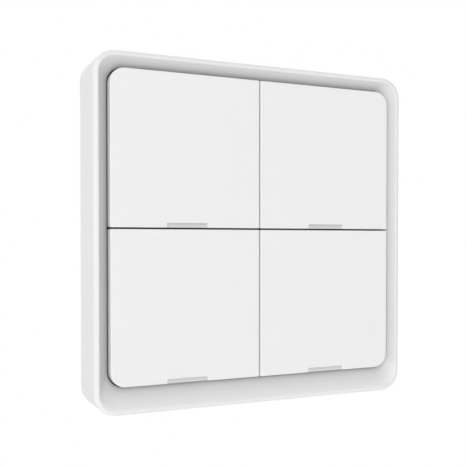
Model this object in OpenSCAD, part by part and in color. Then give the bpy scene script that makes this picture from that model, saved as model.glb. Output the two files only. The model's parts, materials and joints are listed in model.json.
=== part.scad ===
// Four-key wireless wall switch on a standard 86 mm square plate.
// Everything is drawn lying down: x to the right, y up the wall, z out from the wall.
// stand() then turns it upright, so the keys face -Y, +Z is up and the wall is the plane y = 0.

/* [Plate] */
// Width and height of the square front frame (mm)
plate_size = 86; // [80:0.5:120]
// Radius of the frame's outer corners
corner_r = 5.5; // [4:0.1:10]
// Width of the flat rim round the front
rim_width = 1.2; // [0.8:0.05:2]
// Roll of the outer front edge
rim_roll = 1; // [0.4:0.05:1.2]
// How far the bevel drops from the rim to the keys
bevel_drop = 2.4; // [1.6:0.1:2.8]
// Thickness of the frame's side walls
frame_wall = 1.8; // [1.4:0.1:2.2]

/* [Keys] */
// From the outside of the frame to the keys, left and right
side_margin = 4.05; // [3.6:0.05:8]
// From the outside of the frame to the keys at the top
top_margin = 3.95; // [3.6:0.05:8]
// From the outside of the frame to the keys at the bottom
bottom_margin = 6.65; // [4:0.05:10]
// Gap between neighbouring keys
key_gap = 0.4; // [0.3:0.05:1]
// Radius of each key's one outer corner
key_corner_r = 3.6; // [2:0.1:5]
// How far the key faces lie behind the rim
key_recess = 0.35; // [0:0.05:0.8]
// Thickness of a key's face
key_skin = 1.4; // [1:0.1:2.5]
// Thickness of a key's skirt
key_wall = 1.2; // [0.8:0.1:1.6]
// Width of the indicator window in a key's lower edge
window_width = 10.5; // [6:0.1:14]
// Height of the indicator window
window_height = 1.1; // [0.8:0.1:2]
// How deep the indicator window lies below the key face
window_depth = 0.5; // [0.2:0.05:1]

/* [Inside] */
// Thickness of the wall plate
wall_plate_t = 1.5; // [1.2:0.1:2.5]
// Thickness of the rear cover's floor
floor_t = 1.2; // [1:0.1:2]
// Thickness of the battery door
door_t = 1.2; // [1:0.05:1.6]
// Radius of the coin cell
cell_r = 10; // [6:0.25:11]
// Height of the coin cell
cell_h = 3.2; // [1.6:0.1:5]
// Thickness of the circuit board
board_t = 1.2; // [0.8:0.1:2]
// Height of a tact switch with its actuator
tact_h = 4.3; // [3.8:0.1:6]
// Thickness of the key carrier
carrier_t = 1.4; // [1.2:0.1:2]
// Radius of the key pivot pins
pin_r = 0.8; // [0.5:0.05:0.9]

/* [Wall fixing] */
// Distance between the two wall screws
screw_spacing = 60; // [56:0.5:64]
// Width of the screw slots
slot_width = 4.2; // [3.5:0.1:5]
// Length of the screw slots
slot_length = 7; // [6:0.5:9]

/* [Hidden] */
$fn = 64;

// drawing helpers: overshoot of a cut past the face it opens, thin layer of a hull,
// step of a rolled edge in degrees, least radius of an inner corner
cut = 1;
layer = 0.01;
roll_step = 18;
least_r = 0.5;

// clearances: running fits, pieces that touch, pieces side by side, slots, the keys in their frame
run_clear = 0.05;
touch_clear = 0.1;
side_clear = 0.2;
slot_clear = 0.3;
window_clear = 0.35;

// front frame: the ring under the bevel, the snaps under the carrier, the slot for prying it off
frame_back = 0.2;
ring_t = 1.2;
snap_w = 8;
snap_h = 1.5;
snap_reach = 0.7;
pry_w = 8;
pry_h = 1.2;

// keys: pivot ears, plunger, stop hooks; arm is the distance from the pivot to the plunger
ear_t = 1.2;
ear_wall = 0.4;
arm = 24;
plunger_r = 1.6;
plunger_h = 1.35;
hook_x = 9;
hook_inset = 3.5;
hook_w = 3;
hook_t = 1.2;
barb_reach = 0.7;
barb_h = 0.6;
barb_clear = 0.15;
skirt_gap = 1.2;

// light guides: the flange behind the skirt
flange_t = 1.3;
flange_reach = 1.2;

// key carrier: pivot lugs, outer rim, screw bosses; carrier_gap is its distance from the board
lug_t = 2;
lug_wall = 0.5;
lug_inset = 5.4;
lug_gap = 0.45;
carrier_gap = 1.4;
carrier_rim_t = 1.2;
carrier_rim_h = 0.4;
boss_r = 2.8;
boss_skin = 0.4;

// circuit board: its gap to the cover's walls, how much less high it is than wide, its corners
board_gap = 0.8;
board_short = 1;
board_corner_r = 2;

// tact switches and indicator lights
tact_size = 6;
tact_clear = 0.5;
actuator_r = 1.7;
actuator_h = 1;
actuator_sunk = 0.9;
well_depth = 1.4;
led_w = 3.2;
led_l = 1.6;
led_h = 0.8;
led_y = 1.6;
led_hole_w = 6;
led_hole_l = 2.6;

// radio module and small parts on the back of the board
radio_w = 16;
radio_l = 13;
radio_t = 0.8;
radio_inset = 2;
shield_w = 13;
shield_l = 9.5;
shield_h = 1.6;
shield_inset = 0.5;
part_inset = 9;
capacitor_x = 8;
capacitor_w = 7.2;
capacitor_l = 4.3;
capacitor_h = 1.9;
crystal_w = 3.2;
crystal_l = 5;
crystal_h = 0.9;

// coin cell and its contacts: a blade on the can, a leaf with a dimple on the cap
cap_inset = 1.2;
cap_h = 0.4;
blade_w = 5;
blade_t = 0.3;
blade_foot = 4;
blade_lift = 0.8;
leaf_w = 3;
leaf_l = 9;
leaf_past = 3;
leaf_t = 0.2;
dimple_r = 1.2;
spring_gap = 0.5;

// rear cover: its walls and gap to the frame, the nest round the cell, the ledge over the door,
// the screw tubes, the closed pockets that leave room for the heads of the wall screws
cover_wall = 1.4;
cover_gap = 1;
nest_wall = 1.2;
nest_gap = 0.4;
ledge_t = 1;
door_edge = 2.5;
door_rim = 3.5;
tube_r = 3.2;
head_room = 2.5;
pocket_wall = 0.8;

// battery door: bayonet lugs, half angles of lug and entry, the turn between them, the coin slot
door_z = 0.3;
lug_reach = 0.9;
lug_h = 0.45;
lug_step = 120;
lug_start = 90;
lug_half = 8;
entry_half = 11;
door_turn = 30;
coin_slot_l = 10;
coin_slot_w = 1.8;
coin_slot_d = 0.6;

// wall plate: clips that hold the rear cover, pockets for the sticky pads
clip_x = 20;
clip_inset = 4.2;
clip_w = 4;
clip_t = 1.2;
clip_barb = 0.7;
clip_h = 0.8;
door_gap = 0.6;
pad_t = 0.5;
pad_w = 20;
pad_h = 10;
pad_inset = 17;
pad_gap = 7;

// case screws
shank_r = 0.95;
head_r = 1.9;
head_h = 1.2;
screw_inset = 5;
screw_past_hook = 5.4;
cross_l = 2.2;
cross_w = 0.5;
cross_d = 0.6;

// heights above the wall, each stacked on the one before
floor_z = wall_plate_t + touch_clear;
floor_top = floor_z + floor_t;
door_top = door_z + door_t;
ledge_z = door_top + touch_clear;
boss_top = max(floor_top, ledge_z + ledge_t);
cell_z = door_top + side_clear;
cell_top = cell_z + cell_h;
module_h = radio_t + shield_h;
board_z = max(cell_top + spring_gap, boss_top + module_h + side_clear);
board_top = board_z + board_t;
carrier_z = board_top + carrier_gap;
carrier_top = carrier_z + carrier_t;
barb_top = carrier_z - barb_clear;
barb_z = barb_top - barb_h;
tact_top = board_top + tact_h - actuator_h;
actuator_top = board_top + tact_h;
plunger_z = actuator_top + run_clear;
ear_r = pin_r + ear_wall;
lug_r = pin_r + run_clear + lug_wall;
axis_z = carrier_top + ear_r + touch_clear;
skin_z = max(axis_z + lug_r + side_clear, actuator_top + plunger_h);
face_z = skin_z + key_skin;
plate_depth = face_z + key_recess;
bevel_z = plate_depth - bevel_drop;
ring_z = max(bevel_z - ring_t, carrier_top + carrier_rim_h);
skirt_z = carrier_top + skirt_gap;
guide_z = skirt_z + touch_clear;
head_z = floor_z + touch_clear;

// half sizes across, from the outside in
half = plate_size / 2;
inner_half = half - frame_wall;
inner_r = max(corner_r - frame_wall, least_r);
carrier_half = inner_half - side_clear;
plate_half = carrier_half - side_clear;
cover_half = inner_half - cover_gap;
board_half_x = cover_half - cover_wall - board_gap;
board_half_y = board_half_x - board_short;
door_r = cell_r + door_edge;
door_boss_r = door_r + door_rim;
nest_r = cell_r + slot_clear;

// places of the keys, their window in the frame and the fixings
key_w = (plate_size - 2 * side_margin - key_gap) / 2;
key_h = (plate_size - top_margin - bottom_margin - key_gap) / 2;
key_x = (key_w + key_gap) / 2;
upper_y = half - top_margin - key_h;
lower_y = -half + bottom_margin;
axis_inset = key_wall + lug_r + lug_gap;
lug_x = key_w / 2 - lug_inset;
guide_inset = key_wall + flange_t;
window_w = plate_size - 2 * side_margin + 2 * window_clear;
window_h = plate_size - top_margin - bottom_margin + 2 * window_clear;
window_r = key_corner_r + window_clear;
window_cy = (bottom_margin - top_margin) / 2;
screw_x = key_x + hook_x + screw_past_hook;
screw_y = board_half_y - screw_inset;
clip_y = cover_half - clip_inset;
pad_x = half - pad_inset;
pad_y = door_boss_r + pad_gap;
radio_y = board_half_y - radio_inset - radio_l / 2;
shield_y = radio_y - radio_l / 2 + shield_inset + shield_l / 2;
part_y = part_inset - board_half_y;

// sx is -1 for a left key and 1 for a right one, sy is -1 for a lower key and 1 for an upper one
function mid_x(sx) = sx * key_x;
function low_y(sy) = sy > 0 ? upper_y : lower_y;
function axis_y(sy) = low_y(sy) + key_h - axis_inset;
function tact_y(sy) = axis_y(sy) - arm;

module stand() {
  rotate([90, 0, 0]) children();
}

// left and right of the middle
module both_sides() {
  for (side = [0, 1]) mirror([side, 0, 0]) children();
}

// all four corners, from the one at the upper right
module four_corners() {
  for (side = [0, 1], end = [0, 1]) mirror([side, 0, 0]) mirror([0, end, 0]) children();
}

module rounded(w, h, r) {
  square([w - 2 * r, h], center = true);
  square([w, h - 2 * r], center = true);
  for (x = [-1, 1], y = [-1, 1])
    translate([x * (w / 2 - r), y * (h / 2 - r)]) circle(r);
}

// a slot with round ends, its long side across
module oblong(l, w) {
  square([l - w, w], center = true);
  for (s = [-1, 1]) translate([s * (l - w) / 2, 0]) circle(w / 2);
}

module slab(w, h, r, z0, z1) {
  translate([0, 0, z0]) linear_extrude(z1 - z0) rounded(w, h, r);
}

// a box by its edges
module block(x0, x1, y0, y1, z0, z1) {
  translate([x0, y0, z0]) cube([x1 - x0, y1 - y0, z1 - z0]);
}

// a box by its middle
module tile(x, y, w, l, z0, z1) {
  block(x - w / 2, x + w / 2, y - l / 2, y + l / 2, z0, z1);
}

module post(x, y, r, z0, z1) {
  translate([x, y, z0]) cylinder(r = r, h = z1 - z0);
}

// a rod along x
module rod(x0, x1, y, z, r) {
  translate([x0, y, z]) rotate([0, 90, 0]) cylinder(r = r, h = x1 - x0);
}

// wedges of a disc, one at each lug; first is the angle of one of them, spread its half width in degrees
module wedges(r, first, spread, z0, z1) {
  for (a = [0 : lug_step : 360 - lug_step]) translate([0, 0, z0]) rotate([0, 0, first + a - spread])
    rotate_extrude(angle = 2 * spread) square([r, z1 - z0]);
}

// the frame's outside with its front edge rolled over, in steps of the roll's quarter turn
module frame_outside() {
  roll_z = plate_depth - rim_roll;
  hull() {
    slab(plate_size, plate_size, corner_r, frame_back, roll_z, $fn = 48);
    for (a = [roll_step : roll_step : 90]) {
      in = rim_roll * (1 - cos(a));
      z = roll_z + rim_roll * sin(a);
      slab(plate_size - 2 * in, plate_size - 2 * in, corner_r - in, z - layer, z, $fn = 48);
    }
  }
}

// the bevel from the rim down to the window that the keys sit in
module bevel_cut() {
  top_w = plate_size - 2 * rim_width;
  hull() {
    slab(top_w, top_w, corner_r - rim_width, plate_depth, plate_depth + layer, $fn = 48);
    translate([0, window_cy, 0]) slab(window_w, window_h, window_r, bevel_z, bevel_z + layer, $fn = 48);
  }
}

module front_frame() {
  color([0.93, 0.93, 0.93]) {
    difference() {
      frame_outside();
      bevel_cut();
      translate([0, window_cy, 0]) slab(window_w, window_h, window_r, ring_z - cut, bevel_z + layer / 2);
      slab(2 * inner_half, 2 * inner_half, inner_r, frame_back - cut, ring_z);
      block(-pry_w / 2, pry_w / 2, -half - cut, -inner_half + cut, frame_back - cut, frame_back + pry_h);
    }
    for (a = [0 : 90 : 270]) rotate([0, 0, a]) both_sides()
      block(half / 2 - snap_w / 2, half / 2 + snap_w / 2, inner_half - snap_reach, inner_half + frame_wall / 2,
        carrier_z - touch_clear - snap_h, carrier_z - touch_clear);
  }
}

// rectangle from its lower middle point, with the corner at (sx, sy) rounded
module key_outline(w, h, r, sx, sy) {
  cx = sx * w / 2;
  cy = sy > 0 ? h : 0;
  difference() {
    translate([-w / 2, 0]) square([w, h]);
    translate([cx - r * (sx + 1) / 2, cy - r * (sy + 1) / 2]) square(r);
  }
  translate([cx - sx * r, cy - sy * r]) circle(r);
}

module key(sx, sy) {
  y0 = low_y(sy);
  root_z = skin_z + key_skin / 2;
  pin_x = lug_x - lug_t / 2 + touch_clear;
  ear_x = lug_x + lug_t / 2 + side_clear;
  hook_y = y0 + hook_inset;
  color([0.95, 0.95, 0.95]) translate([mid_x(sx), 0, 0]) {
    difference() {
      translate([0, y0, skirt_z]) linear_extrude(face_z - skirt_z)
        key_outline(key_w, key_h, key_corner_r, sx, sy);
      translate([0, y0 + key_wall, skirt_z - cut]) linear_extrude(skin_z - skirt_z + cut)
        key_outline(key_w - 2 * key_wall, key_h - 2 * key_wall, key_corner_r - key_wall, sx, sy);
      block(-window_width / 2, window_width / 2, y0 - cut, y0 + window_height, skirt_z - cut, face_z + cut);
      block(-window_width / 2, window_width / 2, y0 - cut, y0 + key_wall + cut, skirt_z - cut, skin_z);
    }
    post(0, tact_y(sy), plunger_r, plunger_z, root_z);
    both_sides() {
      rod(ear_x, ear_x + ear_t, axis_y(sy), axis_z, ear_r);
      block(ear_x, ear_x + ear_t, axis_y(sy) - ear_r, axis_y(sy) + ear_r, axis_z, root_z);
      rod(pin_x, ear_x + ear_t / 2, axis_y(sy), axis_z, pin_r);
      block(hook_x - hook_w / 2, hook_x + hook_w / 2, hook_y, hook_y + hook_t, barb_z, root_z);
      block(hook_x - hook_w / 2, hook_x + hook_w / 2, hook_y, hook_y + hook_t + barb_reach, barb_z, barb_top);
    }
  }
}

module key_upper_left() key(-1, 1);
module key_upper_right() key(1, 1);
module key_lower_left() key(-1, -1);
module key_lower_right() key(1, -1);

// the clear window: a front bar in the notch and a flange that bears on the back of the skirt
module light_guide(sx, sy) {
  y0 = low_y(sy);
  bar_w = window_width - 2 * run_clear;
  flange_w = bar_w / 2 + flange_reach;
  color([0.86, 0.87, 0.88]) translate([mid_x(sx), 0, 0]) {
    block(-bar_w / 2, bar_w / 2, y0, y0 + window_height - run_clear, guide_z, face_z - window_depth);
    block(-bar_w / 2, bar_w / 2, y0, y0 + guide_inset, guide_z, skin_z);
    block(-flange_w, flange_w, y0 + key_wall, y0 + guide_inset, guide_z, skin_z);
  }
}

module light_guide_upper_left() light_guide(-1, 1);
module light_guide_upper_right() light_guide(1, 1);
module light_guide_lower_left() light_guide(-1, -1);
module light_guide_lower_right() light_guide(1, -1);

// the lugs that one key's pins turn in
module pivot_lugs(sx, sy) {
  y = axis_y(sy);
  translate([mid_x(sx), 0, 0]) both_sides() {
    rod(lug_x - lug_t / 2, lug_x + lug_t / 2, y, axis_z, lug_r);
    block(lug_x - lug_t / 2, lug_x + lug_t / 2, y - lug_r, y + lug_r, carrier_top - carrier_t / 2, axis_z);
  }
}

// what one key needs cut from the carrier: pivot bores, tact switch, light and hook openings
module key_openings(sx, sy) {
  z0 = carrier_z - cut;
  z1 = carrier_top + cut;
  tact_hole = tact_size + 2 * tact_clear;
  hook_y = low_y(sy) + hook_inset + hook_t / 2;
  translate([mid_x(sx), 0, 0]) {
    both_sides() rod(lug_x - lug_t, lug_x + lug_t, axis_y(sy), axis_z, pin_r + run_clear);
    tile(0, tact_y(sy), tact_hole, tact_hole, z0, z1);
    tile(0, low_y(sy) + led_y, led_hole_w, led_hole_l, z0, z1);
    both_sides() tile(hook_x, hook_y, hook_w + 2 * slot_clear, hook_t + 2 * slot_clear, z0, z1);
  }
}

module key_carrier() {
  rim_half = carrier_half - carrier_rim_t;
  color([0.8, 0.8, 0.8]) difference() {
    union() {
      slab(2 * carrier_half, 2 * carrier_half, inner_r, carrier_z, carrier_top);
      difference() {
        slab(2 * carrier_half, 2 * carrier_half, inner_r, carrier_z, ring_z);
        slab(2 * rim_half, 2 * rim_half, max(inner_r - carrier_rim_t, least_r), carrier_top, ring_z + cut);
      }
      four_corners() post(screw_x, screw_y, boss_r, board_top, carrier_z + carrier_t / 2);
      for (sx = [-1, 1], sy = [-1, 1]) pivot_lugs(sx, sy);
    }
    four_corners() post(screw_x, screw_y, shank_r + run_clear, board_top - cut, carrier_top - boss_skin);
    for (sx = [-1, 1], sy = [-1, 1]) key_openings(sx, sy);
  }
}

module circuit_board() {
  color([0.1, 0.35, 0.2]) difference() {
    slab(2 * board_half_x, 2 * board_half_y, board_corner_r, board_z, board_top);
    four_corners() post(screw_x, screw_y, shank_r + side_clear, board_z - cut, board_top + cut);
  }
}

module tact_body(sx, sy) {
  color([0.15, 0.15, 0.16]) difference() {
    tile(mid_x(sx), tact_y(sy), tact_size, tact_size, board_top, tact_top);
    post(mid_x(sx), tact_y(sy), actuator_r + run_clear, tact_top - well_depth, tact_top + cut);
  }
}

module tact_body_upper_left() tact_body(-1, 1);
module tact_body_upper_right() tact_body(1, 1);
module tact_body_lower_left() tact_body(-1, -1);
module tact_body_lower_right() tact_body(1, -1);

module tact_actuator(sx, sy) {
  color([0.75, 0.75, 0.72]) post(mid_x(sx), tact_y(sy), actuator_r, tact_top - actuator_sunk, actuator_top);
}

module tact_actuator_upper_left() tact_actuator(-1, 1);
module tact_actuator_upper_right() tact_actuator(1, 1);
module tact_actuator_lower_left() tact_actuator(-1, -1);
module tact_actuator_lower_right() tact_actuator(1, -1);

module led(sx, sy) {
  color([0.95, 0.93, 0.8]) tile(mid_x(sx), low_y(sy) + led_y, led_w, led_l, board_top, board_top + led_h);
}

module led_upper_left() led(-1, 1);
module led_upper_right() led(1, 1);
module led_lower_left() led(-1, -1);
module led_lower_right() led(1, -1);

// the radio module lies along the board's upper edge, on the side of the wall
module radio_board() {
  color([0.1, 0.2, 0.4]) tile(0, radio_y, radio_w, radio_l, board_z - radio_t, board_z);
}

module radio_shield() {
  color([0.75, 0.75, 0.77]) tile(0, shield_y, shield_w, shield_l, board_z - module_h, board_z - radio_t);
}

module storage_capacitors() {
  color([0.7, 0.55, 0.2]) both_sides()
    tile(capacitor_x, part_y, capacitor_w, capacitor_l, board_z - capacitor_h, board_z);
}

module crystal() {
  color([0.78, 0.78, 0.8]) tile(0, part_y, crystal_w, crystal_l, board_z - crystal_h, board_z);
}

// the can faces the wall, the smaller negative cap faces the board
module coin_cell() {
  color([0.8, 0.8, 0.8]) {
    post(0, 0, cell_r, cell_z, cell_top - cap_h);
    post(0, 0, cell_r - cap_inset, cell_z + cell_h / 2, cell_top);
  }
}

// a side blade that bears on the can
module battery_clip_positive() {
  color([0.85, 0.75, 0.45]) {
    block(cell_r, cell_r + blade_t, -blade_w / 2, blade_w / 2, cell_z + blade_lift, board_z);
    block(cell_r, cell_r + blade_foot, -blade_w / 2, blade_w / 2, board_z - blade_t, board_z);
  }
}

// a leaf on the board with a dimple that bears on the cap
module battery_spring_negative() {
  color([0.85, 0.75, 0.45]) {
    block(leaf_past - leaf_l, leaf_past, -leaf_w / 2, leaf_w / 2, board_z - leaf_t, board_z);
    post(0, 0, dimple_r, cell_top, board_z - leaf_t / 2);
  }
}

// the door's well, the groove its lugs turn in and the entries they come in by
module door_well() {
  post(0, 0, door_r + side_clear, door_z - cut, ledge_z);
  post(0, 0, door_r + lug_reach + side_clear, door_top - lug_h - touch_clear, ledge_z);
  wedges(door_r + lug_reach + 2 * side_clear, lug_start + door_turn, entry_half,
    door_z - cut, ledge_z - touch_clear);
}

// the pockets over the heads of the wall screws, larger all round by the given wall
module head_pockets(wall, from_z, to_z) {
  room = 2 * (head_room + wall);
  both_sides() translate([screw_spacing / 2, 0, from_z]) linear_extrude(to_z - from_z)
    oblong(slot_length + room, slot_width + room);
}

module rear_cover() {
  inside = cover_half - cover_wall;
  blade_hole_w = blade_w / 2 + slot_clear;
  color([0.85, 0.85, 0.85]) difference() {
    union() {
      difference() {
        slab(2 * cover_half, 2 * cover_half, inner_r, floor_z, carrier_z);
        slab(2 * inside, 2 * inside, max(inner_r - cover_wall, least_r), floor_top, carrier_z + cut);
      }
      post(0, 0, door_boss_r, door_z, boss_top);
      post(0, 0, nest_r + nest_wall, boss_top - ledge_t / 2, board_z - nest_gap);
      four_corners() post(screw_x, screw_y, tube_r, floor_z, board_z);
      head_pockets(pocket_wall, floor_z, board_z - nest_gap);
    }
    four_corners() {
      post(screw_x, screw_y, shank_r + side_clear, floor_z - cut, board_z + cut);
      post(screw_x, screw_y, head_r + slot_clear, floor_z - cut, head_z + head_h);
      tile(clip_x, clip_y, clip_w + 2 * slot_clear, clip_t + 2 * slot_clear, floor_z - cut, floor_top + cut);
    }
    head_pockets(0, floor_z - cut, board_z - nest_gap - pocket_wall);
    post(0, 0, nest_r, door_z, board_z);
    door_well();
    block(cell_r - cut, cell_r + blade_foot + cut, -blade_hole_w, blade_hole_w,
      cell_z + blade_lift - slot_clear, board_z);
  }
}

module battery_door() {
  color([0.8, 0.8, 0.8]) difference() {
    union() {
      post(0, 0, door_r, door_z, door_top);
      wedges(door_r + lug_reach, lug_start, lug_half, door_top - lug_h, door_top);
    }
    tile(0, 0, coin_slot_l, coin_slot_w, door_z - cut, door_z + coin_slot_d);
  }
}

module wall_plate() {
  clip_top = floor_top + clip_h;
  color([0.88, 0.88, 0.88]) {
    difference() {
      slab(2 * plate_half, 2 * plate_half, inner_r, 0, wall_plate_t);
      post(0, 0, door_boss_r + door_gap, -cut, wall_plate_t + cut);
      both_sides() translate([screw_spacing / 2, 0, -cut]) linear_extrude(wall_plate_t + 2 * cut)
        oblong(slot_length, slot_width);
      four_corners() tile(pad_x, pad_y, pad_w, pad_h, -cut, pad_t);
    }
    four_corners() {
      tile(clip_x, clip_y, clip_w, clip_t, wall_plate_t / 2, clip_top);
      block(clip_x - clip_w / 2, clip_x + clip_w / 2, clip_y, clip_y + clip_t / 2 + clip_barb,
        floor_top + touch_clear, clip_top);
    }
  }
}

// sticky pads let into the back of the wall plate
module adhesive_pads() {
  color([0.6, 0.6, 0.58]) four_corners()
    tile(pad_x, pad_y, pad_w - 2 * touch_clear, pad_h - 2 * touch_clear, 0, pad_t);
}

module case_screws() {
  color([0.6, 0.6, 0.62]) four_corners() difference() {
    union() {
      post(screw_x, screw_y, head_r, head_z, head_z + head_h);
      post(screw_x, screw_y, shank_r, head_z + head_h / 2, carrier_top - boss_skin - touch_clear);
    }
    tile(screw_x, screw_y, cross_l, cross_w, head_z - cut, head_z + cross_d);
    tile(screw_x, screw_y, cross_w, cross_l, head_z - cut, head_z + cross_d);
  }
}

stand() {
  front_frame();
  key_upper_left();
  key_upper_right();
  key_lower_left();
  key_lower_right();
  light_guide_upper_left();
  light_guide_upper_right();
  light_guide_lower_left();
  light_guide_lower_right();
  key_carrier();
  circuit_board();
  tact_body_upper_left();
  tact_body_upper_right();
  tact_body_lower_left();
  tact_body_lower_right();
  tact_actuator_upper_left();
  tact_actuator_upper_right();
  tact_actuator_lower_left();
  tact_actuator_lower_right();
  led_upper_left();
  led_upper_right();
  led_lower_left();
  led_lower_right();
  radio_board();
  radio_shield();
  storage_capacitors();
  crystal();
  coin_cell();
  battery_clip_positive();
  battery_spring_negative();
  rear_cover();
  battery_door();
  wall_plate();
  adhesive_pads();
  case_screws();
}
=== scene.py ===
"""Four-key wireless wall switch: moulded frame, rocking keys, windows, inside, back and studio."""

import json

import bpy
import numpy as np
from mathutils import Matrix, Vector


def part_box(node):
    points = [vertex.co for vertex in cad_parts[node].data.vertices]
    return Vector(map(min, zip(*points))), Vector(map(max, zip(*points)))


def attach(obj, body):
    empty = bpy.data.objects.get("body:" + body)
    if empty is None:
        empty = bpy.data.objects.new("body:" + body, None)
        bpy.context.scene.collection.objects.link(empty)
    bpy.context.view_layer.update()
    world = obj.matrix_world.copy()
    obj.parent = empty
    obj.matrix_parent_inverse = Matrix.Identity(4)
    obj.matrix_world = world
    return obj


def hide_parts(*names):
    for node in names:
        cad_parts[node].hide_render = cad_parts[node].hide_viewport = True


bl_info = {
    "name": "Four-key wall switch",
    "version": (1, 0, 0),
    "blender": (4, 5, 0),
    "location": "View3D > Sidebar > Wall switch",
    "description": "Dresses the packed wall switch and lights it for a studio picture",
    "category": "Object",
}

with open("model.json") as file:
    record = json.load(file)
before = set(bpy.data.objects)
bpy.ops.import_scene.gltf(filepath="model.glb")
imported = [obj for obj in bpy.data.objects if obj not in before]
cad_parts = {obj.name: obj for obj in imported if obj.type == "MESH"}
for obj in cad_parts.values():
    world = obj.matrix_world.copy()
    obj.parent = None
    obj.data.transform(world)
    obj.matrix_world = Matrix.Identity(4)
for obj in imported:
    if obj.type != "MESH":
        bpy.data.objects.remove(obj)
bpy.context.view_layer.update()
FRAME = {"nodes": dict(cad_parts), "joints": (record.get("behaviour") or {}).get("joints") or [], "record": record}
MM = 0.001
KEYS = ("upper_left", "upper_right", "lower_left", "lower_right")


def box_mm(node):
    """A CAD node's box in millimetres as lowest and highest (x right, height off the wall, z up)."""
    low, high = (np.array(corner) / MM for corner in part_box(node))
    return np.array([low[0], -high[1], low[2]]), np.array([high[0], -low[1], high[2]])


FRAME_LOW, FRAME_HIGH = box_mm("front_frame")
KEYS_LOW = np.min([box_mm("key_" + key)[0] for key in KEYS], 0)[[0, 2]]
KEYS_HIGH = np.max([box_mm("key_" + key)[1] for key in KEYS], 0)[[0, 2]]
KEYS_FACE = box_mm("key_upper_left")[1][1]
CARRIER_BACK = box_mm("key_carrier")[0][1]
QUARTER_TURN = np.pi / 2

# Frame details: millimetres, radians, shares of the bevel and numbers of loops

BACK_LIP = 0.25  # rounding of the back edge
BACK_LIP_START = 0.3  # angle at which that rounding begins
BACK_LIP_STEPS = 5
PRY_HEIGHT = 1.2  # height of the slot for prying the frame off
PRY_SIDE = 0.02  # width of the slot's steep sides
ROLL_STEPS = 10
RIM_EASE = 0.06  # flat rim given up to the rounding into the bevel
RIM_EASE_STEPS = 6
BEVEL_TOP = 0.04  # where on the bevel that rounding ends
BEVEL_FOOT = 0.97  # where on the bevel its rounded foot begins
BEVEL_STEPS = 6
FOOT_DROP = 0.12  # how far the rounded foot goes below the bevel
FOOT_STEPS = 4
CORNER_STEPS = 20  # points on each of the frame's round corners
SNAP_HALF = 4.0  # half the width of a snap
SNAP_BELOW = 0.2  # snap's back side, behind the carrier's back
SNAP_ABOVE = 1.3  # snap's front side, in front of the carrier's back
SNAP_REACH = 0.7  # how far a snap stands in from the wall
SNAP_ROOT = 0.5  # how far it is rooted in the wall
SNAP_EDGE = 0.2  # rounding of its edges

# Key details: millimetres, numbers of loops and which corner of a key's outline is its outer one

OUTER_CORNER = {"lower_left": 0, "lower_right": 5, "upper_right": 6, "upper_left": 7}
MEETING_CORNER = 0.3  # radius of the corners where keys meet
NOTCH_CORNER = 0.12  # radius of the notch's corners
FACE_EDGE_STEPS = 7
SKIRT_LIFT = 4.0  # from the carrier's back to the skirts' back edge
SKIRT_EDGE = 0.1  # chamfer of that edge
ROOT = 0.4  # how far plunger, ears and hooks are rooted in the face
ROD_EDGE = 0.15  # rounding of the ends of plunger and pins
PLUNGER_RADIUS = 1.6
PLUNGER_GAP = 0.05  # from the plunger to the switch behind it
EAR_FROM, EAR_TO = 15.175, 16.375  # pivot ear, from the key's middle
EAR_RADIUS = 1.2  # how far the ear goes past the pin's axis
EAR_EDGE = 0.3  # rounding of its ends
EAR_CORNER = 0.2  # rounding of its corners
PIN_FROM, PIN_TO = 13.075, 15.7  # pivot pin, from the key's middle
PIN_RADIUS = 0.8
HOOK_PLACE = 9.0  # stop hook, from the key's middle
HOOK_HALF = 1.5  # half its width
HOOK_INSET = 3.5  # from the key's lower edge
HOOK_THICKNESS = 1.2
BARB_FROM, BARB_TO = 0.2, 1.9  # its barb, from its lower side
BARB_HEIGHT = 0.6

# Window details in millimetres

WINDOW_FIT = 0.01  # gap at a window's sides and top in its notch
WINDOW_LIFT = 0.02  # how far its lower side is inside the key's edge
WINDOW_EDGE = 0.04  # rounding of its face
WINDOW_CORNER = 0.08  # rounding of its corners

# Painted shade on the plastic, and its clouding: millimetres and one power

RIM_FADE = 0.15  # depth below the rim in which the bevel's painted shade comes in
BEVEL_SLACK = 0.1  # how far past the bevel's outer edge that painted shade may go
FOOT_POWER = 8  # how closely the deeper painted shade keeps to the bevel's foot
WALL_REACH = 0.5  # width of the keys' edge in which their outer walls get painted shade
WALL_FADE = 0.6  # depth below the key faces in which that painted shade comes in
FLOW_CLOUD = 18  # size of the clouding in moulded plastic

# Sockets of a Mix node that mixes colours

MIX_FIRST, MIX_SECOND, MIX_RESULT = 6, 7, 2


# Surfaces


def outline(corners, radii, inset=0.0, steps=8):
    """Closed outline of a right-angled polygon given anticlockwise.

    Every corner is a quarter circle about a centre set in from it. Moving the outline in by inset takes
    the inset off an outward corner's radius and adds it to an inward one's, so that outlines at
    different insets match point for point.
    """
    points = np.asarray(corners, float)
    before = points - np.roll(points, 1, 0)
    before /= np.linalg.norm(before, axis=1, keepdims=True)
    after = np.roll(before, -1, 0)
    turn = np.sign(before[:, 0] * after[:, 1] - before[:, 1] * after[:, 0])[:, None]
    normal_in = np.stack([-before[:, 1], before[:, 0]], 1)
    normal_out = np.stack([-after[:, 1], after[:, 0]], 1)
    radius = np.maximum(np.asarray(radii, float)[:, None] - turn * inset, 1e-4)
    centre = points + (inset + turn * radius) * (normal_in + normal_out)
    angle = np.linspace(0, QUARTER_TURN, steps)[None, :, None]
    arc = normal_in[:, None] * np.cos(angle) + normal_out[:, None] * np.sin(angle)
    return (centre[:, None] - (turn * radius)[:, None] * arc).reshape(-1, 2)


def rectangle(low, high):
    """The four corners of a rectangle, anticlockwise from its lower left."""
    return [(low[0], low[1]), (high[0], low[1]), (high[0], high[1]), (low[0], high[1])]


def at_height(flat, height):
    """A flat outline (x, z) lifted off the wall by height, a number or one number for each point."""
    lifted = np.broadcast_to(height, flat.shape[:1])
    return np.stack([flat[:, 0], -lifted, flat[:, 1]], 1)


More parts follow.
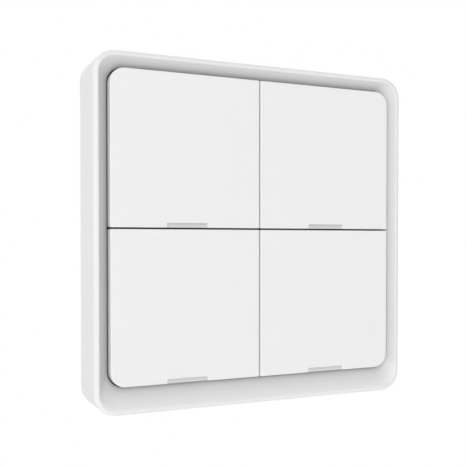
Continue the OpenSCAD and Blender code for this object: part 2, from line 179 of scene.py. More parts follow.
def lofted(loops, ring=False):
    """Skin over matching closed loops: a four-sided face between each two neighbours on each two loops.

    The loops run anticlockwise seen from the front and from the back of the piece to its front.
    With ring the last loop joins the first; otherwise the first and the last are closed by one face each.
    """
    grid = np.stack(loops)
    rows, count = grid.shape[:2]
    i = np.arange(rows if ring else rows - 1)[:, None]
    j = np.arange(count)[None, :]
    k = (j + 1) % count
    n = (i + 1) % rows
    quads = np.stack(np.broadcast_arrays(i * count + j, i * count + k, n * count + k, n * count + j), -1)
    faces = quads.reshape(-1, 4).tolist()
    if not ring:
        faces.append(list(range(count))[::-1])
        faces.append(list(range((rows - 1) * count, rows * count)))
    return grid.reshape(-1, 3), faces


def rolled(low, high, edge, steps=5):
    """(inset, height) pairs of a wall from low to high whose two ends roll in by a quarter circle."""
    angle = np.linspace(0, QUARTER_TURN, steps)
    first = np.stack([edge * (1 - np.sin(angle)), low + edge * (1 - np.cos(angle))], 1)
    last = np.stack([edge * (1 - np.cos(angle)), high - edge * (1 - np.sin(angle))], 1)
    return np.concatenate([first, last])


def prism(corners, radii, low, high, edge, steps=4):
    """Solid of one outline from low to high off the wall, both ends rolled."""
    return lofted([at_height(outline(corners, radii, inset, steps), height)
                   for inset, height in rolled(low, high, edge)])


def bar(low, high, edge=0.1, radius=0.15):
    """Rounded block between two points given as (x, z, height)."""
    return prism(rectangle(low[:2], high[:2]), [radius] * 4, low[2], high[2], edge)


def turned(centre, radius, low, high, edge, along, steps=32):
    """Round rod from low to high along height or x, with rolled ends: radius times cosine and sine."""
    angle = np.linspace(0, 2 * np.pi, steps, endpoint=False)
    loops = []
    for inset, at in rolled(low, high, edge):
        across = np.stack([np.cos(angle), np.sin(angle)], 1) * (radius - inset)
        if along == "height":
            loops.append(at_height(across + np.array(centre), at))
        else:
            height, up = centre[1] + across[:, 1], centre[0] + across[:, 0]
            loops.append(np.stack([np.full(steps, at), -height, up], 1))
    return lofted(loops)


def curved(start, corner, end, parts):
    """Loops at the given parts of a curve from start to end that leaves and arrives towards the corner.

    Each is start times (1 - part) squared, corner times 2 part (1 - part) and end times part squared.
    """
    return [start * (1 - part) ** 2 + corner * 2 * part * (1 - part) + end * part ** 2 for part in parts]


def piece(name, shells, material, body, replaced):
    """One object of several closed skins, in metres, riding on a body in place of the CAD nodes."""
    points, faces, start = [], [], 0
    for shell_points, shell_faces in shells:
        points.append(shell_points)
        faces += [[start + corner for corner in face] for face in shell_faces]
        start += len(shell_points)
    mesh = bpy.data.meshes.new(name)
    mesh.from_pydata((np.concatenate(points) * MM).tolist(), [], faces)
    mesh.shade_smooth()
    mesh.materials.append(material)
    mesh.validate()
    thing = bpy.data.objects.new(name, mesh)
    bpy.context.scene.collection.objects.link(thing)
    weighted = thing.modifiers.new("flat_faces_lead", "WEIGHTED_NORMAL")
    weighted.weight = 100
    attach(thing, body)
    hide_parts(*replaced)
    return thing


# Shader maths


class Term:
    """A value in a node tree. Arithmetic on it adds Math nodes."""

    def __init__(self, tree, socket):
        self.tree = tree
        self.socket = socket

    def math(self, operation, *others):
        """Math node of that operation on this value and the others."""
        return add_node(self.tree, "ShaderNodeMath", {"operation": operation},
                        dict(enumerate((self, *others))))

    def __add__(self, other):
        return self.math("ADD", other)

    __radd__ = __add__

    def __sub__(self, other):
        return self.math("SUBTRACT", other)

    def __rsub__(self, other):
        return (self * -1) + other

    def __mul__(self, other):
        return self.math("MULTIPLY", other)

    __rmul__ = __mul__

    def __truediv__(self, other):
        return self.math("DIVIDE", other)

    def __pow__(self, other):
        return self.math("POWER", other)

    def __abs__(self):
        return self.math("ABSOLUTE")

    def __lt__(self, other):
        return self.math("LESS_THAN", other)

    def larger(self, other):
        """The larger of this value and another."""
        return self.math("MAXIMUM", other)

    def smaller(self, other):
        """The smaller of this value and another."""
        return self.math("MINIMUM", other)

    def clamped(self):
        """This value kept between 0 and 1."""
        return self.larger(0.0).smaller(1.0)


def add_node(tree, kind, settings=None, inputs=None, output=0):
    """Adds a node, sets it up, then fills its sockets with values or links. Returns one output as a Term."""
    made = tree.nodes.new(kind)
    for name, value in (settings or {}).items():
        setattr(made, name, value)
    for name, value in (inputs or {}).items():
        if isinstance(value, Term):
            tree.links.new(value.socket, made.inputs[name])
        else:
            made.inputs[name].default_value = value
    return Term(tree, made.outputs[output])


class Finish:
    """A material whose look is built up from object-space patterns."""

    def __init__(self, name):
        self.material = bpy.data.materials.new(name)
        self.material.use_nodes = True
        self.tree = self.material.node_tree
        self.shader = self.tree.nodes["Principled BSDF"]
        self.place = self.node("ShaderNodeTexCoord", output="Object")

    def node(self, kind, settings=None, inputs=None, output=0):
        """One node in this material."""
        return add_node(self.tree, kind, settings, inputs, output)

    def axes(self):
        """The three object coordinates, in metres."""
        return [self.node("ShaderNodeSeparateXYZ", None, {"Vector": self.place}, axis) for axis in "XYZ"]

    def noise(self, size_mm, detail=2.0, stretch=None):
        """Cloudy pattern with lumps of about size_mm, 0 to 1, drawn out along an axis by stretch."""
        place = self.place
        if stretch:
            place = self.node("ShaderNodeMapping", None, {"Vector": place, "Scale": stretch})
        return self.node("ShaderNodeTexNoise", None,
                         {"Vector": place, "Scale": 1 / (size_mm * MM), "Detail": detail}, "Fac")

    def blend(self, mask, dark, light):
        """Colour that goes from dark to light as the mask goes from 0 to 1."""
        return self.node("ShaderNodeMix", {"data_type": "RGBA"},
                         {"Factor": mask, MIX_FIRST: (*dark, 1), MIX_SECOND: (*light, 1)}, MIX_RESULT)

    def bump(self, height, depth_mm, strength=1.0):
        """Surface relief of depth_mm from a height between 0 and 1."""
        return self.node("ShaderNodeBump", None,
                         {"Height": height, "Distance": depth_mm * MM, "Strength": strength}, "Normal")

    def set(self, **sockets):
        """Fills sockets of the shader; underscores stand for spaces in their names."""
        for name, value in sockets.items():
            socket = self.shader.inputs[name.replace("_", " ")]
            if isinstance(value, Term):
                self.tree.links.new(value.socket, socket)
            else:
                socket.default_value = value
        return self.material


def outside(x, z, low, high, radius):
    """Distance in metres out of a rectangle with round corners, given in millimetres; negative inside it.

    Past the straight stretches it is the length of the step (x, z) beyond the corner's centre, less the
    radius. Along them it is the step across alone.
    """
    middle, flat = (low + high) / 2 * MM, ((high - low) / 2 - radius) * MM
    across, up = ((abs(value - middle[i]) - flat[i]) for i, value in enumerate((x, z)))
    beyond = (across.larger(0.0) ** 2 + up.larger(0.0) ** 2) ** 0.5
    within = across.larger(up).smaller(0.0)
    return beyond + within - radius * MM


def tint(colour, amount):
    """The colour made lighter or darker by an amount, kept between 0 and 1."""
    return tuple(min(max(part * amount, 0.0), 1.0) for part in colour)


def shaded(finish, colour, darker):
    """The colour made darker by painted shade where the function darker says so, or as it is without one."""
    if not darker:
        return colour
    return finish.node("ShaderNodeMix", {"data_type": "RGBA", "blend_type": "MULTIPLY"},
                       {"Factor": darker(finish), MIX_FIRST: colour, MIX_SECOND: (0, 0, 0, 1)}, MIX_RESULT)


def moulded(name, colour, grain_mm=0.22, relief_mm=0.006, roughness=0.42, darker=None):
    """Moulded matte plastic: fine spark-eroded grain, faint flow clouding and slightly uneven gloss.

    darker is a function that takes the finish and gives how much painted shade darkens the plastic, 0 to 1.
    """
    finish = Finish(name)
    grain = finish.noise(grain_mm, detail=3.0)
    cloud = finish.noise(FLOW_CLOUD)
    colour_over = finish.blend(cloud * 0.7 + grain * 0.3, tint(colour, 0.985), tint(colour, 1.012))
    return finish.set(
        Base_Color=shaded(finish, colour_over, darker),
        Specular_IOR_Level=0.2,
        Roughness=roughness - 0.05 + cloud * 0.06 + grain * 0.04,
        Normal=finish.bump(grain, relief_mm, strength=0.5))


def window_plastic(name, colour, darker=None):
    """Milky light-guide plastic: smooth, a little clouded, with a clear skin.

    darker is a function that takes the finish and gives how much painted shade darkens the plastic, 0 to 1.
    """
    finish = Finish(name)
    cloud = finish.noise(size_mm=1.6)
    return finish.set(
        Base_Color=shaded(finish, finish.blend(cloud, tint(colour, 0.97), tint(colour, 1.02)), darker),
        Roughness=0.26 + cloud * 0.08,
        Coat_Weight=0.25,
        Normal=finish.bump(finish.noise(size_mm=0.5), depth_mm=0.002, strength=0.4))


def bare_metal(name, colour, stretch, roughness=0.32):
    """Plated sheet metal: brushed lines along one axis and faint stains."""
    finish = Finish(name)
    lines = finish.noise(size_mm=0.25, detail=3.0, stretch=stretch)
    stain = finish.noise(size_mm=6, detail=3.0)
    return finish.set(
        Base_Color=finish.blend(lines * 0.6 + stain * 0.4, tint(colour, 0.85), tint(colour, 1.08)),
        Metallic=1.0,
        Roughness=roughness - 0.06 + lines * 0.1 + stain * 0.06,
        Normal=finish.bump(lines, depth_mm=0.004, strength=0.4))


def board_mask(name, colour):
    """Circuit board: solder mask with raised tracks on a millimetre raster."""
    finish = Finish(name)
    cells = finish.node("ShaderNodeTexBrick", {"offset": 0.5, "squash": 1.0}, {
        "Vector": finish.node("ShaderNodeMapping", None,
                              {"Vector": finish.place, "Rotation": (QUARTER_TURN, 0, 0)}),
        "Scale": 1 / (10 * MM), "Mortar Size": 0.03, "Mortar Smooth": 0.2,
        "Brick Width": 0.9, "Row Height": 0.22}, "Fac")
    cloud = finish.noise(size_mm=7)
    return finish.set(
        Base_Color=finish.blend(cells * 0.7 + cloud * 0.3, tint(colour, 0.85), tint(colour, 1.4)),
        Roughness=0.36 + cloud * 0.1,
        Coat_Weight=0.3,
        Normal=finish.bump(cells, depth_mm=0.03, strength=0.6))


def foam(name, colour):
    """Closed-cell sticky foam: small pits and an uneven grey."""
    finish = Finish(name)
    pits = finish.node("ShaderNodeTexVoronoi", None,
                       {"Vector": finish.place, "Scale": 1 / (0.45 * MM)}, "Distance")
    cloud = finish.noise(size_mm=3, detail=3.0)
    return finish.set(
        Base_Color=finish.blend(pits * 0.5 + cloud * 0.5, tint(colour, 0.78), tint(colour, 1.1)),
        Roughness=0.82 + cloud * 0.1,
        Normal=finish.bump(pits, depth_mm=0.08, strength=0.7))


# Settings


class SwitchSizes(bpy.types.PropertyGroup):
    """Sizes of the moulded edges, in millimetres."""

    rim_width: bpy.props.FloatProperty(
        name="Rim width", description="Flat rim round the front of the frame", default=1.2, min=0.8, max=2)
    rim_roll: bpy.props.FloatProperty(
        name="Rim roll", description="Radius of the frame's outer front edge",
        default=1.0, min=0.3, max=1.1)
    corner_radius: bpy.props.FloatProperty(
        name="Corner radius", description="Radius of the frame's outer corners", default=5.5, min=3, max=9)
    bevel_drop: bpy.props.FloatProperty(
        name="Bevel drop", description="Depth from the rim to the bevel's inner edge",
        default=2.4, min=1, max=3)
    ring_thickness: bpy.props.FloatProperty(
        name="Ring thickness", description="Plastic under the bevel's inner edge",
        default=1.2, min=0.6, max=2)
    frame_wall: bpy.props.FloatProperty(
        name="Frame wall", description="Thickness of the frame's sides", default=1.8, min=1, max=2.4)
    window_gap: bpy.props.FloatProperty(
        name="Key clearance", description="Gap between the keys and the frame",
        default=0.35, min=0.2, max=0.8)
    key_corner: bpy.props.FloatProperty(
        name="Key corner", description="Radius of each key's outer corner", default=3.6, min=1, max=6)
    key_edge: bpy.props.FloatProperty(
        name="Key edge", description="Rounding of the edge of the key faces",
        default=0.22, min=0.05, max=0.5)
    key_wall: bpy.props.FloatProperty(
        name="Key wall", description="Thickness of the key skirts", default=1.2, min=0.8, max=2)
    key_skin: bpy.props.FloatProperty(
        name="Key face", description="Thickness of the key faces", default=1.4, min=0.8, max=2.5)
    window_width: bpy.props.FloatProperty(
        name="Window width", description="Width of an indicator window", default=10.5, min=5, max=15)
    window_height: bpy.props.FloatProperty(
        name="Window height", description="Height of an indicator window", default=1.1, min=0.6, max=2)
    pry_width: bpy.props.FloatProperty(
        name="Pry slot width", description="Width of the slot in the frame's lower edge",
        default=8, min=4, max=16)


class SwitchColours(bpy.types.PropertyGroup):
    """Colours of the finishes."""

    frame: bpy.props.FloatVectorProperty(
        name="Frame", description="White of the frame", subtype="COLOR",
        default=(0.85, 0.85, 0.85), min=0, max=1)
    key: bpy.props.FloatVectorProperty(
        name="Keys", description="White of the keys", subtype="COLOR",
        default=(0.885, 0.885, 0.885), min=0, max=1)
    window: bpy.props.FloatVectorProperty(
        name="Windows", description="Milky windows", subtype="COLOR",
        default=(0.735, 0.735, 0.735), min=0, max=1)
    # Painted shade: the bevel's colour is made darker near the keys, where shade falls.
    recess_painted_shade: bpy.props.FloatProperty(
        name="Recess tint", description="How much darker the bevel is near the keys",
        default=0.24, min=0, max=0.5)
    # Painted shade: the bevel's foot is made darker still, where the keys shade it.
    recess_shade: bpy.props.FloatProperty(
        name="Recess shade", description="How much darker still the bevel's foot is",
        default=0.36, min=0, max=0.6)
    # How far from the keys the painted shade on the bevel reaches.
    recess_reach: bpy.props.FloatProperty(
        name="Recess reach", description="How far from the keys the bevel is darker, in mm",
        default=5.2, min=1, max=20)
    # Painted shade: the keys' outer walls in the gap are made darker.
    wall_painted_shade: bpy.props.FloatProperty(
        name="Wall tint", description="How much darker the keys' outer walls are",
        default=0.1, min=0, max=0.6)
    # Painted shadow: each window is made darker towards its upper edge, where the notch shades it.
    notch_shade: bpy.props.FloatProperty(
        name="Notch shade", description="How much darker a window is at its upper edge",
        default=0.25, min=0, max=0.5)
    # The carrier's dark grey is partly painted shade: it darkens the gaps between the keys.
    carrier: bpy.props.FloatVectorProperty(
        name="Key carrier", description="Shows only in the gaps between the keys", subtype="COLOR",
        default=(0.2, 0.2, 0.2), min=0, max=1)
    inside: bpy.props.FloatVectorProperty(
        name="Inner plastic", description="Rear cover, battery door and wall plate", subtype="COLOR",
        default=(0.74, 0.74, 0.73), min=0, max=1)


class SwitchStudio(bpy.types.PropertyGroup):
    """Camera and light."""

    camera_place: bpy.props.FloatVectorProperty(
        name="Camera", description="Where the camera stands", subtype="XYZ", unit="LENGTH",
        default=(-0.084617, -0.185254, -0.001710), precision=5)
    yaw: bpy.props.FloatProperty(
        name="Yaw", description="Turn of the camera from straight ahead", subtype="ANGLE", default=0.42203)
    pitch: bpy.props.FloatProperty(
        name="Pitch", description="Tilt of the camera above level", subtype="ANGLE", default=-0.0206)
    lens: bpy.props.FloatProperty(
        name="Lens", description="Focal length on a 36 mm sensor", default=57.906, min=10, max=200)
    rise: bpy.props.FloatProperty(
        name="Rise", description="Upward shift of the picture", default=0.0505, min=-0.2, max=0.2)
    key_power: bpy.props.FloatProperty(
        name="Key light", description="Large soft light, front left", default=33.0, min=0, unit="POWER")
    key_place: bpy.props.FloatVectorProperty(
        name="Key light place", description="Where the soft light stands", subtype="XYZ", unit="LENGTH",
        default=(-1.27, -2.03, 0.5))
    key_size: bpy.props.FloatProperty(
        name="Key light size", description="Side of the square soft light",
        default=1.6, min=0.1, unit="LENGTH")
    behind: bpy.props.FloatProperty(
        name="Behind", description="Brightness of the surround behind the switch",
        default=0.92, min=0, max=2)
    above: bpy.props.FloatProperty(
        name="Above", description="Brightness of the surround above it", default=0.77, min=0, max=2)
    floor_level: bpy.props.FloatProperty(
        name="Floor level", description="Height of the floor", default=-0.45, unit="LENGTH")
    floor_reach: bpy.props.FloatProperty(
        name="Floor reach", description="Half the side of the floor", default=3.0, min=1, unit="LENGTH")
    floor: bpy.props.FloatVectorProperty(
        name="Floor", description="Pale floor", subtype="COLOR", default=(0.95, 0.95, 0.95), min=0, max=1)


def sizes():
    """The size settings."""
    return bpy.context.scene.switch_sizes


def colours():
    """The colour settings."""
    return bpy.context.scene.switch_colours


# Pieces


class SWITCH_OT_front_frame(bpy.types.Operator):
    """Square frame: one profile carried round the plate, from its back edge over the rim to the keys."""

    bl_idname = "switch.front_frame"
    bl_label = "Front frame"

    def execute(self, context):
        s = sizes()
        front = FRAME_HIGH[1]
        ledge = front - s.bevel_drop
        opening = (KEYS_LOW - s.window_gap, KEYS_HIGH + s.window_gap, s.key_corner + s.window_gap)
        shells = [lofted(self.profile(opening, front, ledge), ring=True), *self.snaps()]
        # The frame's white carries painted shade on the bevel near the keys.
        white = moulded("frame_white", colours().frame,
                        darker=lambda finish: self.painted_shade_near_keys(finish, opening, front, ledge))
        piece("frame_moulding", shells, white, "case", ["front_frame"])
        return {"FINISHED"}

    def profile(self, opening, front, ledge):
        """Loops out along the back, up the side, over the rim, down the bevel and out again behind it.

        Each is the plate's outline or the opening's, or lies between the two on the bevel.
        """
        s = sizes()
        low, high = FRAME_LOW[[0, 2]], FRAME_HIGH[[0, 2]]
        back = FRAME_LOW[1]
        ring = ledge - s.ring_thickness
        pry = s.pry_width / 2

        def round_plate(inset):
            """The plate's outline, set in."""
            return self.with_slot_points(
                outline(rectangle(low, high), [s.corner_radius] * 4, inset, CORNER_STEPS), pry)

        def lift(flat, height):
            """The outline at a height, higher where the pry slot is."""
            in_slot = (np.abs(flat[:, 0]) < pry - PRY_SIDE / 2) & (flat[:, 1] < low[1] / 2)
            return at_height(flat, height + in_slot * PRY_HEIGHT)

        def on_bevel(part):
            """The loop at that part of the way from the rim to the bevel's foot."""
            return rim + (foot - rim) * part

        loops = [lift(round_plate(s.frame_wall), back), lift(round_plate(BACK_LIP), back)]
        for angle in np.linspace(BACK_LIP_START, QUARTER_TURN, BACK_LIP_STEPS):
            loops.append(lift(round_plate(BACK_LIP * (1 - np.sin(angle))),
                              back + BACK_LIP * (1 - np.cos(angle))))
        for angle in np.linspace(0, QUARTER_TURN, ROLL_STEPS):
            loops.append(at_height(round_plate(s.rim_roll * (1 - np.cos(angle))),
                                   front - s.rim_roll * (1 - np.sin(angle))))
        window = self.with_slot_points(
            outline(rectangle(*opening[:2]), [opening[2]] * 4, 0, CORNER_STEPS), pry)
        rim = at_height(round_plate(s.rim_width), front)
        foot = at_height(window, ledge)
        flat_end = at_height(round_plate(s.rim_width - RIM_EASE), front)
        turn_down = at_height(window, ledge - FOOT_DROP)
        loops += curved(flat_end, rim, on_bevel(BEVEL_TOP), np.linspace(0, 1, RIM_EASE_STEPS))
        loops += [on_bevel(part) for part in np.linspace(BEVEL_TOP, BEVEL_FOOT, BEVEL_STEPS)[1:]]
        loops += curved(on_bevel(BEVEL_FOOT), foot, turn_down, np.linspace(0, 1, FOOT_STEPS)[1:])
        loops += [at_height(window, ring), at_height(round_plate(s.frame_wall), ring)]
        return loops

    @staticmethod
    def snaps():
        """Two bars inside each wall that snap behind the carrier."""
        half = FRAME_HIGH[0]
        inner = half - sizes().frame_wall
        back, front = CARRIER_BACK - SNAP_BELOW, CARRIER_BACK + SNAP_ABOVE
        shells = []
        for along in (-half / 2, half / 2):
            left, right = along - SNAP_HALF, along + SNAP_HALF
            for side in (-1, 1):
                start, end = sorted((side * (inner - SNAP_REACH), side * (inner + SNAP_ROOT)))
                shells.append(bar((left, start, back), (right, end, front), SNAP_EDGE))
                shells.append(bar((start, left, back), (end, right, front), SNAP_EDGE))
        return shells

    @staticmethod
    def painted_shade_near_keys(finish, opening, front, ledge):
        """Painted shade on the bevel: darker the nearer to the keys, and darkest at its foot."""
        x, y, z = finish.axes()
        outer = FRAME_HIGH[0] - sizes().rim_width + BEVEL_SLACK
        near = (1 - outside(x, z, *opening) / (colours().recess_reach * MM)).clamped()
        below_rim = ((y + front * MM) / (RIM_FADE * MM)).clamped()
        above_foot = y < -ledge * MM
        on_bevel = (abs(x).larger(abs(z)) < outer * MM) * below_rim * above_foot
        return (near * colours().recess_painted_shade + near ** FOOT_POWER * colours().recess_shade) * on_bevel

    @staticmethod
    def with_slot_points(flat, pry):
        """Adds the pry slot's two sides to the outline's lower edge, between its first two corners."""
        corner = len(flat) // 4
        x = np.array([-pry, -pry + PRY_SIDE, pry - PRY_SIDE, pry])
        extra = np.stack([x, np.full(len(x), flat[corner - 1, 1])], 1)
        return np.concatenate([flat[:corner], extra, flat[corner:]])


class SWITCH_OT_keys(bpy.types.Operator):
    """Rocking keys: hollow caps with rolled edges and a notch, pivot pins, a plunger and two stop hooks."""

    bl_idname = "switch.keys"
    bl_label = "Keys"

    def execute(self, context):
        # The keys' white carries painted shade on their outer walls.
        white = moulded("key_white", colours().key, darker=self.painted_shade_on_walls)
        for key in KEYS:
            low, high = box_mm("key_" + key)
            shells = [self.cap(key, low, high), *self.works(key, low, high)]
            piece("key_cap_" + key, shells, white, "key_" + key, ["key_" + key])
        return {"FINISHED"}

    @staticmethod
    def cap(key, low, high):
        """One notched outline carried down inside the wall, round the skirt's edge, up and over the face."""
        s = sizes()
        left, right, bottom, top = low[0], high[0], low[2], high[2]
        middle = (left + right) / 2
        notch_left, notch_right = middle - s.window_width / 2, middle + s.window_width / 2
        notch_top = bottom + s.window_height
        corners = [(left, bottom), (notch_left, bottom), (notch_left, notch_top), (notch_right, notch_top),
                   (notch_right, bottom), (right, bottom), (right, top), (left, top)]
        radii = [MEETING_CORNER, *[NOTCH_CORNER] * 4, *[MEETING_CORNER] * 3]
        radii[OUTER_CORNER[key]] = s.key_corner
        face = high[1]
        skirt = CARRIER_BACK + SKIRT_LIFT
        angle = np.linspace(0, QUARTER_TURN, FACE_EDGE_STEPS)
        steps = [(s.key_wall, face - s.key_skin), (s.key_wall, skirt), (SKIRT_EDGE, skirt),
                 (0, skirt + SKIRT_EDGE),
                 *zip(s.key_edge * (1 - np.cos(angle)), face - s.key_edge * (1 - np.sin(angle)))]
        return lofted([at_height(outline(corners, radii, inset), height) for inset, height in steps])

    @staticmethod
    def painted_shade_on_walls(finish):
        """Painted shade on the keys' walls that face the frame, from just below the face down: how much darker
        they are.
        """
        x, y, z = finish.axes()
        at_wall = (1 + outside(x, z, KEYS_LOW, KEYS_HIGH, sizes().key_corner) / (WALL_REACH * MM)).clamped()
        below_face = ((y + KEYS_FACE * MM) / (WALL_FADE * MM)).clamped()
        return at_wall * below_face * colours().wall_painted_shade

    @staticmethod
    def works(key, low, high):
        """Plunger, pivot ears with pins and stop hooks under the face."""
        joint = next(j for j in FRAME["joints"] if j["name"] == "key_" + key + "_press")
        axis_z, axis_height = joint["pos_m"][2] / MM, -joint["pos_m"][1] / MM
        switch_low, switch_high = box_mm("tact_actuator_" + key)
        switch_z = (switch_low[2] + switch_high[2]) / 2
        middle = (low[0] + high[0]) / 2
        root = high[1] - sizes().key_skin + ROOT
        hook_low = low[2] + HOOK_INSET
        hook_end = low[1]
        shells = [turned((middle, switch_z), PLUNGER_RADIUS, switch_high[1] + PLUNGER_GAP, root,
                         ROD_EDGE, "height")]
        for side in (-1, 1):
            start, end = sorted((middle + side * EAR_FROM, middle + side * EAR_TO))
            shells.append(bar((start, axis_z - EAR_RADIUS, axis_height - EAR_RADIUS),
                              (end, axis_z + EAR_RADIUS, root), EAR_EDGE, EAR_CORNER))
            start, end = sorted((middle + side * PIN_FROM, middle + side * PIN_TO))
            shells.append(turned((axis_z, axis_height), PIN_RADIUS, start, end, ROD_EDGE, "x"))
            hook = middle + side * HOOK_PLACE
            start, end = hook - HOOK_HALF, hook + HOOK_HALF
            shells.append(bar((start, hook_low, hook_end), (end, hook_low + HOOK_THICKNESS, root)))
            shells.append(bar((start, hook_low + BARB_FROM, hook_end),
                              (end, hook_low + BARB_TO, hook_end + BARB_HEIGHT)))
        return shells


class SWITCH_OT_windows(bpy.types.Operator):
    """Indicator windows: milky bars that fill the notch of each key behind its face."""

    bl_idname = "switch.windows"
    bl_label = "Indicator windows"

    def execute(self, context):
        s = sizes()
        # The windows carry a painted shadow below each notch's upper edge.
        milky = window_plastic("window_milky", colours().window, self.notch_painted_shadow)
        half = s.window_width / 2 - WINDOW_FIT
        for key in KEYS:
            low, high = box_mm("light_guide_" + key)
            middle = (low[0] + high[0]) / 2
            bottom, top = low[2] + WINDOW_LIFT, low[2] + s.window_height - WINDOW_FIT
            shells = [bar((middle - half, bottom, low[1]), (middle + half, top, high[1]),
                          WINDOW_EDGE, WINDOW_CORNER)]
            piece("window_bar_" + key, shells, milky, "key_" + key, ["light_guide_" + key])
        return {"FINISHED"}

    @staticmethod
    def notch_painted_shadow(finish):
        """Painted shadow of the notch's upper edge: a window is darker the nearer to the key's edge above it, in
        both rows of keys.
        """
        lower, upper = (box_mm("light_guide_" + key)[0][2] for key in ("lower_left", "upper_left"))
        z = finish.axes()[2]
        in_upper_row = 1 - (z < (lower + upper) / 2 * MM)
        up = z - lower * MM - in_upper_row * ((upper - lower) * MM)
        return (up / (sizes().window_height * MM)).clamped() * colours().notch_shade


class SWITCH_OT_inside(bpy.types.Operator):
    """Finishes of the parts inside and on the back, which keep their CAD shapes."""

    bl_idname = "switch.inside"
    bl_label = "Inside and back"

    def execute(self, context):
        coarse = {"grain_mm": 0.35, "relief_mm": 0.012, "roughness": 0.5}
        fine = {"grain_mm": 0.2, "relief_mm": 0.01}
        finishes = {
            "inner_plastic": moulded("inner_white", colours().inside, **coarse),
            # Dark grey carrier, partly painted shade for the gaps between the keys.
            "key_carrier": moulded("carrier_grey", colours().carrier, **coarse),
            "circuit_board": board_mask("board_green", (0.03, 0.16, 0.08)),
            "switch_body": moulded("switch_black", (0.03, 0.03, 0.032), **fine, roughness=0.5),
            "switch_actuator": moulded("actuator_grey", (0.6, 0.6, 0.57),
                                       grain_mm=0.2, relief_mm=0.008, roughness=0.45),
            "led": window_plastic("led_clear", (0.85, 0.82, 0.66)),
            "capacitor": moulded("capacitor_ochre", (0.58, 0.4, 0.1), **fine, roughness=0.45),
            "plated_steel": bare_metal("plated_steel", (0.72, 0.72, 0.73), stretch=(1, 1, 0.05)),
            "contact_metal": bare_metal("contact_gold", (0.83, 0.66, 0.36),
                                        stretch=(0.05, 1, 1), roughness=0.28),
            "adhesive": foam("pad_foam", (0.5, 0.5, 0.48)),
            "screw_steel": bare_metal("screw_zinc", (0.6, 0.61, 0.63), stretch=(1, 0.1, 1), roughness=0.35),
        }
        for row in FRAME["record"]["subparts"]:
            finish = finishes.get(row["node"]) or finishes.get(row["material_slot"])
            if finish:
                mesh = FRAME["nodes"][row["node"]].data
                mesh.materials.clear()
                mesh.materials.append(finish)
        return {"FINISHED"}


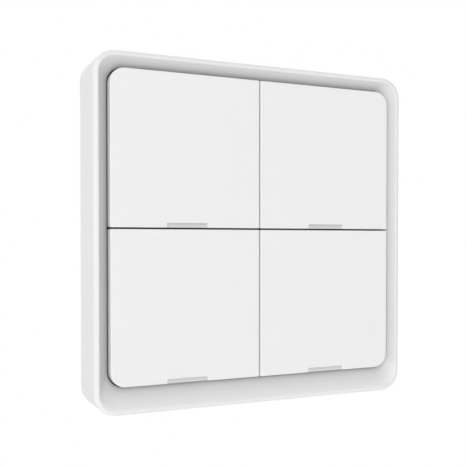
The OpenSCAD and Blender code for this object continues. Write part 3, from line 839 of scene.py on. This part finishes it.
class SWITCH_OT_stage(bpy.types.Operator):
    """Studio: camera, pale floor, white surround and one large soft light."""

    bl_idname = "switch.stage"
    bl_label = "Studio"

    def execute(self, context):
        studio = context.scene.switch_studio
        self.camera(context.scene, studio)
        self.world(context.scene, studio)
        self.floor(context.scene, studio)
        self.lamp(context.scene, studio)
        context.scene.view_settings.view_transform = "Standard"
        return {"FINISHED"}

    @staticmethod
    def camera(scene, studio):
        """Camera looking along yaw and pitch."""
        data = bpy.data.cameras.new("camera")
        data.sensor_width = 36
        data.lens = studio.lens
        data.shift_y = studio.rise
        data.clip_start = 0.01
        camera = bpy.data.objects.new("camera", data)
        scene.collection.objects.link(camera)
        ahead = Vector((np.sin(studio.yaw) * np.cos(studio.pitch), np.cos(studio.yaw) * np.cos(studio.pitch),
                        np.sin(studio.pitch)))
        right = ahead.cross(Vector((0, 0, 1))).normalized()
        turn = Matrix((right, right.cross(ahead), -ahead)).transposed().to_4x4()
        camera.matrix_world = Matrix.Translation(studio.camera_place) @ turn
        scene.camera = camera

    @staticmethod
    def world(scene, studio):
        """White where the camera or a reflection looks at it, and soft light from behind and above."""
        world = bpy.data.worlds.new("surround")
        world.use_nodes = True
        tree = world.node_tree
        background = tree.nodes["Background"]
        ahead = add_node(tree, "ShaderNodeTexCoord", None, None, "Generated")
        y, z = (add_node(tree, "ShaderNodeSeparateXYZ", None, {"Vector": ahead}, axis) for axis in "YZ")
        strength = y.larger(0.0) * studio.behind + z.larger(0.0) * studio.above
        strength = strength + seen_directly(tree) * (1 - strength)
        tree.links.new(strength.socket, background.inputs["Strength"])
        background.inputs["Color"].default_value = (1, 1, 1, 1)
        scene.world = world

    @staticmethod
    def floor(scene, studio):
        """Pale floor below the switch that looks white to the camera."""
        mesh = bpy.data.meshes.new("floor")
        reach, level = studio.floor_reach, studio.floor_level
        mesh.from_pydata([(*corner, level) for corner in rectangle((-reach, -reach), (reach, reach))], [],
                         [(0, 1, 2, 3)])
        material = bpy.data.materials.new("floor_white")
        material.use_nodes = True
        tree = material.node_tree
        shader = tree.nodes["Principled BSDF"]
        shader.inputs["Base Color"].default_value = (*studio.floor, 1)
        shader.inputs["Roughness"].default_value = 0.9
        white = add_node(tree, "ShaderNodeEmission", None, {"Color": (1, 1, 1, 1), "Strength": 1.0})
        mixed = add_node(tree, "ShaderNodeMixShader", None,
                         {0: seen_directly(tree), 1: Term(tree, shader.outputs[0]), 2: white})
        tree.links.new(mixed.socket, tree.nodes["Material Output"].inputs["Surface"])
        mesh.materials.append(material)
        floor = bpy.data.objects.new("floor", mesh)
        scene.collection.objects.link(floor)

    @staticmethod
    def lamp(scene, studio):
        """Large square soft light at its place, facing the switch."""
        data = bpy.data.lights.new("key_light", "AREA")
        data.size = studio.key_size
        data.energy = studio.key_power
        lamp = bpy.data.objects.new("key_light", data)
        lamp.location = studio.key_place
        lamp.rotation_euler = (-Vector(studio.key_place)).to_track_quat("-Z", "Y").to_euler()
        scene.collection.objects.link(lamp)


def seen_directly(tree):
    """1 for a ray from the camera, a reflection or clear plastic, otherwise 0."""
    camera, glossy, clear = (add_node(tree, "ShaderNodeLightPath", output=name)
                             for name in ("Is Camera Ray", "Is Glossy Ray", "Is Transmission Ray"))
    return camera.larger(glossy).larger(clear)


class SWITCH_PT_panel(bpy.types.Panel):
    """Lists the steps and their settings."""

    bl_idname = "SWITCH_PT_panel"
    bl_label = "Wall switch"
    bl_space_type = "VIEW_3D"
    bl_region_type = "UI"
    bl_category = "Wall switch"

    def draw(self, context):
        for step in STEPS:
            self.layout.operator(step.bl_idname)
        for group in (context.scene.switch_sizes, context.scene.switch_colours, context.scene.switch_studio):
            column = self.layout.column()
            for name in group.__annotations__:
                column.prop(group, name)


STEPS = (SWITCH_OT_front_frame, SWITCH_OT_keys, SWITCH_OT_windows, SWITCH_OT_inside, SWITCH_OT_stage)
GROUPS = {"switch_sizes": SwitchSizes, "switch_colours": SwitchColours, "switch_studio": SwitchStudio}


def register():
    """Registers the settings, the steps and the panel."""
    for kind in (*GROUPS.values(), *STEPS, SWITCH_PT_panel):
        bpy.utils.register_class(kind)
    for name, group in GROUPS.items():
        setattr(bpy.types.Scene, name, bpy.props.PointerProperty(type=group))


def unregister():
    """Takes it all out again."""
    for name in GROUPS:
        delattr(bpy.types.Scene, name)
    for kind in reversed((*GROUPS.values(), *STEPS, SWITCH_PT_panel)):
        bpy.utils.unregister_class(kind)


def main():
    """Builds everything in order."""
    register()
    bpy.ops.switch.front_frame()
    bpy.ops.switch.keys()
    bpy.ops.switch.windows()
    bpy.ops.switch.inside()
    bpy.ops.switch.stage()


if __name__ == "__main__":
    main()
